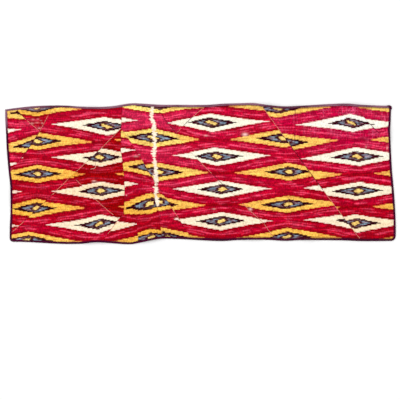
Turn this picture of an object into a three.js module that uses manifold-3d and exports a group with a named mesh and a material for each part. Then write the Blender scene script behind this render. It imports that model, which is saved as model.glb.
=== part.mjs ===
// An ikat textile panel, laid out flat: slanting patchwork pieces of one cloth, bound with a folded tape.
// Millimetres. X runs along the panel, Y across it, and Z up from the surface that it lies on.
import * as THREE from 'three';
import { mergeVertices } from 'three/addons/utils/BufferGeometryUtils.js';
import Module from 'manifold-3d';

const wasm = await Module();
wasm.setup();

// Driving dimensions
const CLOTH_THICKNESS = 1.0;
const TAPE_THICKNESS = 1.0;
const TAPE_FACE = 6.5; // width of folded tape that shows on each face
const GAP = 0.3; // between two pieces that are sewn together
const CORNER_RADIUS = { left: 10, right: 14 }; // the two bottom corners are rounded
const CLOTH_LENGTH = 1230; // about, from one short edge to the other
const CLOTH_WIDTH = 432; // about, from one long edge to the other
const CELL = 28; // size of one facet of the cloth
const SIDE_INSETS = [0, 3, 9, 20]; // distances of the outer facet lines from a short edge
const LONG_INSETS = [0, 8, 20]; // and from a long edge
const TAPED_COLUMNS = 2; // the last of the outer facet lines that the tape holds level, along the panel
const TAPED_ROWS = 1; // and across it
const EDGE_LEVEL = 9.5; // past this distance the cloth begins to come down from its tape,
const EDGE_FADE = 45; // and here it is down on the surface
const RESTS_BELOW = 0.35; // what would rise less than this lies flat on the surface
const SEAM_STEPS = 5; // straight bits in a curved seam
const PLACING_ROUNDS = 4; // an edge's place along and across depend on each other, and settle in these
const BLADE_BOTTOM = -5;
const BLADE_HEIGHT = 40;

const EDGE_LIFT = TAPE_THICKNESS + GAP; // the tape's lower layer lies under the cloth
const EDGE_ROOM = TAPE_THICKNESS + GAP; // from the outside of the tape to the cloth's own edge

// The two long edges, outside the tape, at sections along the panel
const LONG_EDGES = [
  { x: -625, top: 205, bottom: -218 },
  { x: -580, top: 211, bottom: -218 },
  { x: -530, top: 216, bottom: -220 },
  { x: -460, top: 218, bottom: -224 },
  { x: -420, top: 217, bottom: -225 },
  { x: -380, top: 214, bottom: -224 },
  { x: -330, top: 213, bottom: -219.5 },
  { x: -280, top: 216, bottom: -223 },
  { x: -225, top: 224.5, bottom: -225.8 },
  { x: -190, top: 224, bottom: -220 },
  { x: -130, top: 220.5, bottom: -208.5 },
  { x: -80, top: 220, bottom: -208.5 },
  { x: 20, top: 220, bottom: -214 },
  { x: 70, top: 223.5, bottom: -215.5 },
  { x: 120, top: 225, bottom: -212.5 },
  { x: 170, top: 225.7, bottom: -211.5 },
  { x: 220, top: 218.5, bottom: -212 },
  { x: 270, top: 215, bottom: -215 },
  { x: 320, top: 217, bottom: -212.5 },
  { x: 420, top: 223, bottom: -213 },
  { x: 470, top: 224, bottom: -214 },
  { x: 520, top: 219.5, bottom: -216 },
  { x: 625, top: 216.5, bottom: -215 },
];

// The two short edges, outside the tape, at sections across the panel
const SHORT_EDGES = [
  { y: -230, left: -610, right: 623 },
  { y: -180, left: -610, right: 624.6 },
  { y: -115, left: -607.5, right: 622.5 },
  { y: -50, left: -607.5, right: 618 },
  { y: 10, left: -614, right: 612.5 },
  { y: 75, left: -619.5, right: 609 },
  { y: 133, left: -622, right: 606 },
  { y: 175, left: -624.5, right: 608.5 },
  { y: 230, left: -624.6, right: 610 },
];

// Low folds that stay in the cloth: where the middle is, heading from +X in degrees, and half-sizes
const FOLDS = [
  { x: -335, y: -195, heading: 82, long: 110, wide: 34, high: 5.5 },
  { x: -150, y: -185, heading: 70, long: 120, wide: 36, high: 6 },
  { x: 236, y: 185, heading: -62, long: 130, wide: 34, high: 6 },
  { x: -352, y: 200, heading: 96, long: 90, wide: 38, high: 4 },
  { x: 520, y: 190, heading: -50, long: 90, wide: 34, high: 4 },
  { x: 590, y: 128, heading: 172, long: 90, wide: 30, high: 4 },
  { x: -590, y: -70, heading: 20, long: 100, wide: 34, high: 4.5 },
  { x: 165, y: -205, heading: 100, long: 80, wide: 34, high: 3 },
  { x: 345, y: -200, heading: 84, long: 90, wide: 32, high: 3 },
  { x: 301, y: 140, heading: 88, long: 100, wide: 26, high: 3.5 },
  { x: 70, y: -5, heading: -46, long: 210, wide: 30, high: 2.6 },
  { x: 350, y: 5, heading: -54, long: 200, wide: 30, high: 2.6 },
  { x: -165, y: 20, heading: -58, long: 150, wide: 30, high: 2.8 },
  { x: -420, y: -20, heading: 44, long: 190, wide: 30, high: 2.8 },
  { x: -250, y: 40, heading: 90, long: 150, wide: 26, high: 2.4 },
];

// Ends and meeting points of the seams. A name that ends in "out" lies just past the panel's edge
const POINTS = {
  gussetLeftOut: [-614, 236],
  gussetRightOut: [-461, 236],
  gussetFoot: [-514, 136],
  leftUpperOut: [-626, -12],
  leftLowerOut: [-626, -208],
  leftFork: [-410, -5],
  uprightTopOut: [-249, 236],
  crossing: [-254, 145],
  uprightMiddle: [-255, 76],
  uprightFoot: [-246, -131],
  patchCorner: [-262, -145],
  patchLeftOut: [-330, -240],
  patchShoulder: [-205, -145],
  patchRightOut: [-196, -240],
  stripHead: [-160, -3],
  stripElbow: [-134, -120],
  stripLeftOut: [-119, -240],
  stripRightOut: [-8, -240],
  longTopOut: [-152, 236],
  topFoot: [-77, 129],
  longShoulder: [-59, 97],
  longElbow: [203, -160],
  longFootOut: [258, -240],
  topRightOut: [46, 236],
  wideTopOut: [182, 236],
  wideFootOut: [534, -240],
  cornerTopOut: [478, 236],
  cornerRightOut: [640, 70],
  outTopLeft: [-660, 236],
  outLeftUpper: [-660, -12],
  outLeftLower: [-660, -208],
  outBottomLeft: [-660, -240],
  outBottomRight: [660, -240],
  outRight: [660, 70],
  outTopRight: [660, 236],
};

// Seams from one point to another. Bow is how far the middle stands off to the left of the way there
const SEAMS = {
  gussetLeft: { from: 'gussetLeftOut', to: 'gussetFoot', bow: -5 },
  gussetRight: { from: 'gussetRightOut', to: 'gussetFoot', bow: 0 },
  leftUpper: { from: 'gussetFoot', to: 'leftUpperOut', bow: 5 },
  leftLongHigh: { from: 'crossing', to: 'leftFork', bow: 2 },
  leftLongLow: { from: 'leftFork', to: 'leftLowerOut', bow: 2 },
  leftSlant: { from: 'leftFork', to: 'patchCorner', bow: -5 },
  patchLeft: { from: 'patchCorner', to: 'patchLeftOut', bow: 0 },
  patchLink: { from: 'patchCorner', to: 'uprightFoot', bow: 0 },
  patchTop: { from: 'uprightFoot', to: 'patchShoulder', bow: 4 },
  patchRight: { from: 'patchShoulder', to: 'patchRightOut', bow: 0 },
  uprightTop: { from: 'uprightTopOut', to: 'crossing', bow: 0 },
  uprightHigh: { from: 'crossing', to: 'uprightMiddle', bow: 0 },
  uprightLow: { from: 'uprightMiddle', to: 'uprightFoot', bow: 7 },
  centreHigh: { from: 'crossing', to: 'stripHead', bow: 2.5 },
  centreLow: { from: 'stripHead', to: 'stripRightOut', bow: 0 },
  stripHigh: { from: 'stripHead', to: 'stripElbow', bow: -5 },
  stripLow: { from: 'stripElbow', to: 'stripLeftOut', bow: 0 },
  longTop: { from: 'longTopOut', to: 'topFoot', bow: -4.5 },
  longHigh: { from: 'topFoot', to: 'longShoulder', bow: 0 },
  longMiddle: { from: 'longShoulder', to: 'longElbow', bow: -2.5 },
  longFoot: { from: 'longElbow', to: 'longFootOut', bow: 0 },
  topRight: { from: 'topRightOut', to: 'topFoot', bow: -5.5 },
  wide: { from: 'wideTopOut', to: 'wideFootOut', bow: -3 },
  corner: { from: 'cornerTopOut', to: 'cornerRightOut', bow: -9 },
};

// Each panel's border, as points and seams in turn. A seam with a minus sign is followed backwards
const PANELS = {
  panel_top_left: ['outTopLeft', 'gussetLeft', 'leftUpper', 'outLeftUpper'],
  panel_gusset: ['gussetLeft', '-gussetRight'],
  panel_left_upper: ['gussetRight', 'leftUpper', 'outLeftUpper', 'outLeftLower', '-leftLongLow',
    '-leftLongHigh', '-uprightTop'],
  panel_left_middle: ['leftLongHigh', 'leftSlant', 'patchLink', '-uprightLow', '-uprightHigh'],
  panel_left_lower: ['-leftLongLow', 'leftSlant', 'patchLeft', 'outBottomLeft', 'outLeftLower'],
  panel_left_patch: ['patchLeft', '-patchRight', '-patchTop', '-patchLink'],
  panel_centre_low: ['uprightHigh', 'uprightLow', 'patchTop', 'patchRight', '-stripLow', '-stripHigh',
    '-centreHigh'],
  panel_centre_strip: ['stripHigh', 'stripLow', '-centreLow'],
  panel_centre_long: ['uprightTop', 'centreHigh', 'centreLow', '-longFoot', '-longMiddle',
    '-longHigh', '-longTop'],
  panel_centre_top: ['longTop', '-topRight'],
  panel_right_long: ['topRight', 'longHigh', 'longMiddle', 'longFoot', '-wide'],
  panel_right_wide: ['wide', 'outBottomRight', 'outRight', '-corner'],
  panel_top_right: ['corner', 'outRight', 'outTopRight'],
};

const CLOTH_COLOURS = {
  panel_top_left: 0xb9142f,
  panel_gusset: 0xa81026,
  panel_left_upper: 0xb7102a,
  panel_left_middle: 0xa50e20,
  panel_left_lower: 0xb01226,
  panel_left_patch: 0xa50e20,
  panel_centre_low: 0xad1022,
  panel_centre_strip: 0xb01226,
  panel_centre_long: 0xbc1434,
  panel_centre_top: 0xcf3350,
  panel_right_long: 0xb91230,
  panel_right_wide: 0xb91232,
  panel_top_right: 0xc42246,
};
const TAPE_COLOUR = 0x32082e;
const TOP_TAPE_COLOUR = 0x6e4a66;
const CLOTH_ROUGHNESS = 0.72;
const TAPE_ROUGHNESS = 0.85;

// A smooth value between the rows of a table
function readTable(rows, key, column, at) {
  const last = rows.length - 1;
  const clamped = THREE.MathUtils.clamp(at, rows[0][key], rows[last][key]);
  let i = 0;
  while (i < last - 1 && clamped > rows[i + 1][key]) {
    i += 1;
  }
  const slope = (a, b) => (rows[b][column] - rows[a][column]) / (rows[b][key] - rows[a][key]);
  const before = slope(Math.max(i - 1, 0), i + 1);
  const after = slope(i, Math.min(i + 2, last));
  const span = rows[i + 1][key] - rows[i][key];
  const t = (clamped - rows[i][key]) / span;
  const rise = rows[i + 1][column] - rows[i][column];
  const bend = (before * span - rise) * (1 - t) - (after * span - rise) * t;
  return rows[i][column] + rise * t + t * (1 - t) * bend;
}

// The cloth's own edges, inside the tape
const leftX = (y) => readTable(SHORT_EDGES, 'y', 'left', y) + EDGE_ROOM;
const rightX = (y) => readTable(SHORT_EDGES, 'y', 'right', y) - EDGE_ROOM;
const topY = (x) => readTable(LONG_EDGES, 'x', 'top', x) - EDGE_ROOM;

// How far a round corner lifts the edge, at a distance from the corner's side
function cornerRise(distance, radius) {
  const inside = THREE.MathUtils.clamp(radius - distance, 0, radius);
  return radius - Math.sqrt(radius * radius - inside * inside);
}

function bottomY(x) {
  const straight = readTable(LONG_EDGES, 'x', 'bottom', x) + EDGE_ROOM;
  const fromLeft = x - leftX(SHORT_EDGES[0].y);
  const fromRight = rightX(SHORT_EDGES[0].y) - x;
  return straight + cornerRise(fromLeft, CORNER_RADIUS.left) + cornerRise(fromRight, CORNER_RADIUS.right);
}

// Lines of facets from one edge to the other: a share of the way between, and an inset in millimetres
function facetLines(insets, size) {
  const deepest = insets[insets.length - 1];
  const count = Math.round((size - 2 * deepest) / CELL);
  const near = insets.slice(0, -1).map((inset) => ({ share: 0, inset }));
  const between = Array.from({ length: count + 1 }, (_, i) => ({
    share: i / count,
    inset: deepest * (1 - 2 * i / count),
  }));
  const far = near.map(({ inset }) => ({ share: 1, inset: -inset })).reverse();
  return [...near, ...between, ...far];
}

const COLUMNS = facetLines(SIDE_INSETS, CLOTH_LENGTH);
const ROWS = facetLines(LONG_INSETS, CLOTH_WIDTH);
const LAST_COLUMN = COLUMNS.length - 1;
const LAST_ROW = ROWS.length - 1;

function place(column, row) {
  const { share: alongShare, inset: alongInset } = COLUMNS[column];
  const { share: acrossShare, inset: acrossInset } = ROWS[row];
  let x = 0;
  let y = THREE.MathUtils.lerp(bottomY(0), topY(0), acrossShare) + acrossInset;
  for (let round = 0; round < PLACING_ROUNDS; round += 1) {
    x = THREE.MathUtils.lerp(leftX(y), rightX(y), alongShare) + alongInset;
    y = THREE.MathUtils.lerp(bottomY(x), topY(x), acrossShare) + acrossInset;
  }
  return new THREE.Vector2(x, y);
}

function foldHeight(fold, x, y) {
  const heading = THREE.MathUtils.degToRad(fold.heading);
  const along = (x - fold.x) * Math.cos(heading) + (y - fold.y) * Math.sin(heading);
  const across = (y - fold.y) * Math.cos(heading) - (x - fold.x) * Math.sin(heading);
  return fold.high * Math.exp(-((along / fold.long) ** 2) - (across / fold.wide) ** 2);
}

// How high the cloth's underside is. It is the same all across the strip that the tape covers
function liftAt(column, row) {
  const inColumn = THREE.MathUtils.clamp(column, TAPED_COLUMNS, LAST_COLUMN - TAPED_COLUMNS);
  const inRow = THREE.MathUtils.clamp(row, TAPED_ROWS, LAST_ROW - TAPED_ROWS);
  const { x, y } = place(inColumn, inRow);
  const fromEdge = Math.min(x - leftX(y), rightX(y) - x, y - bottomY(x), topY(x) - y);
  const taped = 1 - THREE.MathUtils.smoothstep(fromEdge, EDGE_LEVEL, EDGE_FADE);
  const folded = FOLDS.reduce((sum, fold) => sum + foldHeight(fold, x, y), 0);
  return EDGE_LIFT * taped + Math.max(folded - RESTS_BELOW, 0);
}

const GRID = Array.from({ length: LAST_COLUMN + 1 }, (_, column) =>
  Array.from({ length: LAST_ROW + 1 }, (__, row) => {
    const at = place(column, row);
    return new THREE.Vector3(at.x, at.y, liftAt(column, row));
  }));

// Moves every point of a geometry by a rule of its own coordinates, and leaves only its positions
function reshaped(geometry, rule) {
  geometry.deleteAttribute('normal');
  geometry.deleteAttribute('uv');
  const merged = mergeVertices(geometry);
  const position = merged.getAttribute('position');
  const at = new THREE.Vector3();
  for (let i = 0; i < position.count; i += 1) {
    at.fromBufferAttribute(position, i);
    const moved = rule(at);
    position.setXYZ(i, moved.x, moved.y, moved.z);
  }
  return merged;
}

function solidOf(geometry) {
  geometry.deleteAttribute('normal');
  geometry.deleteAttribute('uv');
  const merged = mergeVertices(geometry);
  const mesh = new wasm.Mesh({
    numProp: 3,
    vertProperties: Float32Array.from(merged.getAttribute('position').array),
    triVerts: Uint32Array.from(merged.index.array),
  });
  return new wasm.Manifold(mesh);
}

function geometryOf(solid) {
  const { numProp, vertProperties, triVerts } = solid.getMesh();
  const position = new Float32Array((vertProperties.length / numProp) * 3);
  for (let i = 0; i < position.length / 3; i += 1) {
    position.set(vertProperties.slice(i * numProp, i * numProp + 3), i * 3);
  }
  const geometry = new THREE.BufferGeometry();
  geometry.setAttribute('position', new THREE.BufferAttribute(position, 3));
  geometry.setIndex(new THREE.BufferAttribute(Uint32Array.from(triVerts), 1));
  return geometry;
}

// The whole cloth before it is parted along the seams
function wholeCloth() {
  const block = new THREE.BoxGeometry(LAST_COLUMN, LAST_ROW, 1, LAST_COLUMN, LAST_ROW, 1);
  block.translate(LAST_COLUMN / 2, LAST_ROW / 2, 0.5);
  return solidOf(reshaped(block, (at) => {
    const point = GRID[Math.round(at.x)][Math.round(at.y)];
    return new THREE.Vector3(point.x, point.y, point.z + at.z * CLOTH_THICKNESS);
  }));
}

function seamLine({ from, to, bow }) {
  const start = new THREE.Vector2(...POINTS[from]);
  const end = new THREE.Vector2(...POINTS[to]);
  if (bow === 0) {
    return [start, end];
  }
  const way = end.clone().sub(start).normalize();
  const middle = start.clone().add(end).multiplyScalar(0.5);
  const pull = middle.add(new THREE.Vector2(-way.y, way.x).multiplyScalar(2 * bow));
  return new THREE.QuadraticBezierCurve(start, pull, end).getPoints(SEAM_STEPS);
}

const SEAM_LINES = Object.fromEntries(Object.entries(SEAMS).map(([name, seam]) => [name, seamLine(seam)]));

function upright(outline) {
  const flat = new THREE.Shape(outline);
  const block = new THREE.ExtrudeGeometry(flat, { depth: BLADE_HEIGHT, steps: 1, bevelEnabled: false });
  block.translate(0, 0, BLADE_BOTTOM);
  return solidOf(block);
}

// Unit normals to the left of a line at each of its points, stretched at bends to keep the distance
function leftNormals(line) {
  const ways = line.slice(1).map((point, i) => {
    const way = new THREE.Vector2(point.x - line[i].x, point.y - line[i].y).normalize();
    return new THREE.Vector2(-way.y, way.x);
  });
  return line.map((_, i) => {
    const before = ways[Math.max(i - 1, 0)];
    const after = ways[Math.min(i, ways.length - 1)];
    const middle = before.clone().add(after).normalize();
    return middle.divideScalar(middle.dot(after));
  });
}

// A thin blade as wide as the gap between two pieces, a little longer than its seam
function blade(line) {
  const half = GAP / 2;
  const long = line.map((point) => point.clone());
  const tail = long.length - 1;
  long[0].sub(long[1].clone().sub(long[0]).setLength(half));
  long[tail].add(long[tail].clone().sub(long[tail - 1]).setLength(half));
  const normals = leftNormals(long);
  const left = long.map((point, i) => point.clone().addScaledVector(normals[i], half));
  const right = long.map((point, i) => point.clone().addScaledVector(normals[i], -half));
  return upright([...left, ...right.reverse()]);
}

function border(steps) {
  const outline = [];
  for (const step of steps) {
    const backwards = step.startsWith('-');
    const name = backwards ? step.slice(1) : step;
    const line = SEAM_LINES[name] ?? [new THREE.Vector2(...POINTS[name])];
    const along = backwards ? [...line].reverse() : line;
    for (const point of along) {
      if (outline.length === 0 || outline[outline.length - 1].distanceTo(point) > 0) {
        outline.push(point);
      }
    }
  }
  if (outline[0].distanceTo(outline[outline.length - 1]) === 0) {
    outline.pop();
  }
  return THREE.ShapeUtils.isClockWise(outline) ? outline.reverse() : outline;
}

// The cloth's edges, going round the panel with the cloth on the left. Where a tape follows on from the
// next one round a corner, its line knows the point before or after. Trim is how far each end stops short
const UNDER_TOP_TAPE = TAPE_FACE - EDGE_ROOM + GAP;
const EDGES = {
  bottom: {
    line: GRID.map((column) => column[0]),
    before: [GRID[0][1]],
    after: [GRID[LAST_COLUMN][1]],
    trim: [0, 0],
  },
  right: {
    line: GRID[LAST_COLUMN],
    before: [GRID[LAST_COLUMN - 1][0]],
    after: [],
    trim: [GAP, UNDER_TOP_TAPE],
  },
  top: {
    line: GRID.map((column) => column[LAST_ROW]).reverse(),
    before: [],
    after: [],
    trim: [-EDGE_ROOM, -EDGE_ROOM],
  },
  left: {
    line: [...GRID[0]].reverse(),
    before: [],
    after: [GRID[1][0]],
    trim: [UNDER_TOP_TAPE, GAP],
  },
};

function trimmed(line, [startBy, endBy]) {
  const points = line.map((point) => point.clone());
  const last = points.length - 1;
  points[0].lerp(points[1], startBy / points[0].distanceTo(points[1]));
  points[last].lerp(points[last - 1], endBy / points[last].distanceTo(points[last - 1]));
  return points;
}

// A length of tape folded over the cloth's edge: a layer above, a layer below and the fold outside
function foldedTape({ line, before, after, trim }) {
  const normals = leftNormals([...before, ...line, ...after]).slice(before.length);
  const points = trimmed(line, trim);
  const inner = TAPE_FACE - EDGE_ROOM;
  const above = CLOTH_THICKNESS + GAP;
  const section = new THREE.Shape([
    new THREE.Vector2(-EDGE_ROOM, -EDGE_LIFT),
    new THREE.Vector2(inner, -EDGE_LIFT),
    new THREE.Vector2(inner, -GAP),
    new THREE.Vector2(-GAP, -GAP),
    new THREE.Vector2(-GAP, above),
    new THREE.Vector2(inner, above),
    new THREE.Vector2(inner, above + TAPE_THICKNESS),
    new THREE.Vector2(-EDGE_ROOM, above + TAPE_THICKNESS),
  ]);
  const steps = points.length - 1;
  const tape = new THREE.ExtrudeGeometry(section, { depth: steps, steps, bevelEnabled: false });
  return reshaped(tape, (at) => {
    const station = Math.round(at.z);
    const across = normals[station].clone().multiplyScalar(at.x);
    const point = points[station];
    return new THREE.Vector3(point.x + across.x, point.y + across.y, point.z + at.y);
  });
}

function piece(name, geometry, color, roughness) {
  const material = new THREE.MeshStandardMaterial({ color, roughness, metalness: 0 });
  const mesh = new THREE.Mesh(geometry, material);
  mesh.name = name;
  return mesh;
}

const parted = Object.values(SEAM_LINES).reduce((cloth, line) => cloth.subtract(blade(line)), wholeCloth());

const panel = new THREE.Group();
for (const [name, steps] of Object.entries(PANELS)) {
  const solid = parted.intersect(upright(border(steps)));
  panel.add(piece(name, geometryOf(solid), CLOTH_COLOURS[name], CLOTH_ROUGHNESS));
}
for (const [side, edge] of Object.entries(EDGES)) {
  const colour = side === 'top' ? TOP_TAPE_COLOUR : TAPE_COLOUR;
  panel.add(piece(`binding_${side}`, foldedTape(edge), colour, TAPE_ROUGHNESS));
}

export default panel;
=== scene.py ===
# The looks of an ikat textile panel that lies flat: thirteen patchwork pieces of one warp-dyed cloth, sewn
# together, and bound with a folded tape. Lengths are in metres, and names that end in _mm in millimetres.
import math

import bpy
import numpy as np
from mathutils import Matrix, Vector
from mathutils.geometry import delaunay_2d_cdt


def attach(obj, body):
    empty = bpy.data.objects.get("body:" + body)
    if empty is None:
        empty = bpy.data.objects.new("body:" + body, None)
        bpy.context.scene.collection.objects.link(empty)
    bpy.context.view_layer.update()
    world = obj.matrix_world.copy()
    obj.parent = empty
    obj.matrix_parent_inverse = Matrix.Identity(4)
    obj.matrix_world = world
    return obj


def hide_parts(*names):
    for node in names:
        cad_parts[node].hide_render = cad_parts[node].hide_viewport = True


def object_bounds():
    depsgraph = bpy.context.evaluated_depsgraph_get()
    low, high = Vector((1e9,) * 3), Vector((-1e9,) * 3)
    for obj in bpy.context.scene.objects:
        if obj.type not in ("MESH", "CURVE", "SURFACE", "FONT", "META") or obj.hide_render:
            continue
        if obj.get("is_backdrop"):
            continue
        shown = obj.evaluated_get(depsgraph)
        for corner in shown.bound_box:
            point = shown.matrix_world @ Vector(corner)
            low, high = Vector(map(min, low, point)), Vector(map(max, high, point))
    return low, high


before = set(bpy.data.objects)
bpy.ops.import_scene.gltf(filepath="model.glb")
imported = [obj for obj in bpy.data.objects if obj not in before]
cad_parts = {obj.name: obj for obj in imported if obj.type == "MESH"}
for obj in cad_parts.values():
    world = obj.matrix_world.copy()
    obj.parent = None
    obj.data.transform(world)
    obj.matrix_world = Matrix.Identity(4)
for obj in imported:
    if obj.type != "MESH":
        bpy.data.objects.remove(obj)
cad_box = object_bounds()

MM = 0.001
ROOT = "root"

# The photograph's frame: 400 pixels wide, and which pixel is over the middle of the panel
PHOTO_SIZE = 400
PIXEL_MM = 3.2
PHOTO_MIDDLE = (200.5, 173.65)

# Sizes of the real thing, as in the solids
TAPE_LAYER_MM = 1.0
TAPE_FACE_MM = 6.5
GAP_MM = 0.3
EDGE_ROOM_MM = TAPE_LAYER_MM + GAP_MM
EDGE_LIFT_MM = TAPE_LAYER_MM + GAP_MM
EDGE_LEVEL_MM = 9.5
EDGE_FADE_MM = 45
RESTS_BELOW_MM = 0.35
CORNER_RADIUS_MM = {"left": 10, "right": 14}
CORNER_LEVEL_MM = -205

# The fine cloth
CLOTH_MM = 0.8
MESH_STEP_MM = 3.0
ROLL_MM = 1.3
ROLL_DROP_MM = 0.25
CLOSES_BY_MM = 0.1
PUCKER_MM = 0.5
PUCKER_LENGTH_MM = 12.0
PUCKER_REACH_MM = 11.0
PUCKER_WAY = (0.83, 0.71)

# The tape: its thickness, how deep a stitch dents it, and how far its upper face sinks to the cloth
TAPE_MM = 0.8
TAPE_DENT_MM = 0.3
TAPE_SINK_MM = 0.35
TAPE_STEP_MM = 3.0
ARC_POINTS = 10

# The tape's section: the middle of its turn, in from the cloth's edge and up, and the turn's radius, then
# where its lower and upper faces have points
TAPE_FOLD_MM = (0.5, 0.5, 1.8)
TAPE_LOWER_MM = (3.4, 1.8)
TAPE_UPPER_MM = (1.4, 2.4, 3.2, 4.0, 4.6)

# The sewing, with a hem stitch's points: how far in from the cloth's edge, and height over its underside
STITCH_STEP_MM = 9.0
THREAD_STEP_MM = 1.2
HEM_STITCH_MM = np.array([(3.4, 1.7), (4.2, 2.35), (5.2, 2.1), (6.2, 1.3), (7.0, 0.8)])

# The small turned end of the tape at the top right corner
CORNER_FOLD_MM = np.array([
    (596, 215.6), (601, 216.4), (605.5, 216), (608.6, 213.4), (609.6, 209.4), (609.2, 205),
])

# The two long edges, outside the tape, at sections along the panel: x, top, bottom
LONG_EDGES_MM = np.array([
    (-625, 205, -218), (-580, 211, -218), (-530, 216, -220), (-460, 218, -224), (-420, 217, -225),
    (-380, 214, -224), (-330, 213, -219.5), (-280, 216, -223), (-225, 224.5, -225.8), (-190, 224, -220),
    (-130, 220.5, -208.5), (-80, 220, -208.5), (20, 220, -214), (70, 223.5, -215.5), (120, 225, -212.5),
    (170, 225.7, -211.5), (220, 218.5, -212), (270, 215, -215), (320, 217, -212.5), (420, 223, -213),
    (470, 224, -214), (520, 219.5, -216), (625, 216.5, -215),
])

# The two short edges, outside the tape, at sections across the panel: y, left, right
SHORT_EDGES_MM = np.array([
    (-230, -610, 623), (-180, -610, 624.6), (-115, -607.5, 622.5), (-50, -607.5, 618), (10, -614, 612.5),
    (75, -619.5, 609), (133, -622, 606), (175, -624.5, 608.5), (230, -624.6, 610),
])

# Low folds that stay in the cloth: x and y of the middle, heading in degrees, half-length, half-width, height
FOLDS_MM = (
    (-335, -195, 82, 110, 34, 5.5), (-150, -185, 70, 120, 36, 6), (236, 185, -62, 130, 34, 6),
    (-352, 200, 96, 90, 38, 4), (520, 190, -50, 90, 34, 4), (590, 128, 172, 90, 30, 4),
    (-590, -70, 20, 100, 34, 4.5), (165, -205, 100, 80, 34, 3), (345, -200, 84, 90, 32, 3),
    (301, 140, 88, 100, 26, 3.5), (70, -5, -46, 210, 30, 2.6), (350, 5, -54, 200, 30, 2.6),
    (-165, 20, -58, 150, 30, 2.8), (-420, -20, 44, 190, 30, 2.8), (-250, 40, 90, 150, 26, 2.4),
)

# Sharp creases: x and y of the middle, heading in degrees, half-length, half-width, height
CREASES_MM = (
    (300.8, 138, 90, 72, 3.2, 0.9), (545, 150, 84, 55, 3.4, 0.5), (-150, -185, 70, 55, 3.4, 0.6),
    (236, 185, -62, 45, 3.4, 0.5),
)

# The woven figure's repeat, in the photograph's pixels: columns of gold and cream diamonds in turn
COLUMN = 67.5
HALF_ROW = 16.6

# About where the first gold diamond's middle is: x and y in the photograph
FIRST_MARK = (25.0, 108.0)

# Each diamond's half-length, half-height and how much its sides bend in
GOLD_DIAMOND = (54.0, 9.15, 1.12)
CREAM_DIAMOND = (53.5, 9.3, 1.08)

# The eye in each diamond, part by part: half-length, half-height, bend and how soft its edge is
EYE = {
    "rim": (26.0, 5.5, 1.0, 0.8),
    "field": (16.6, 4.45, 1.0, 1.6),
    "ring": (8.5, 3.9, 0.8, 0.8),
    "centre": (5.0, 2.35, 0.6, 0.8),
}

# The rows between which the eyes' slant turns over, in the figure's own pixels
EYE_ROWS = (20.0, 112.0)

# The bundles of warp that were dyed as one, and the teeth of the tied line, in pixels
BUNDLE = 0.95
BUNDLE_SPREAD = 17.3
TOOTH = 1.2
TOOTH_SPREAD = 7.31

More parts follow.
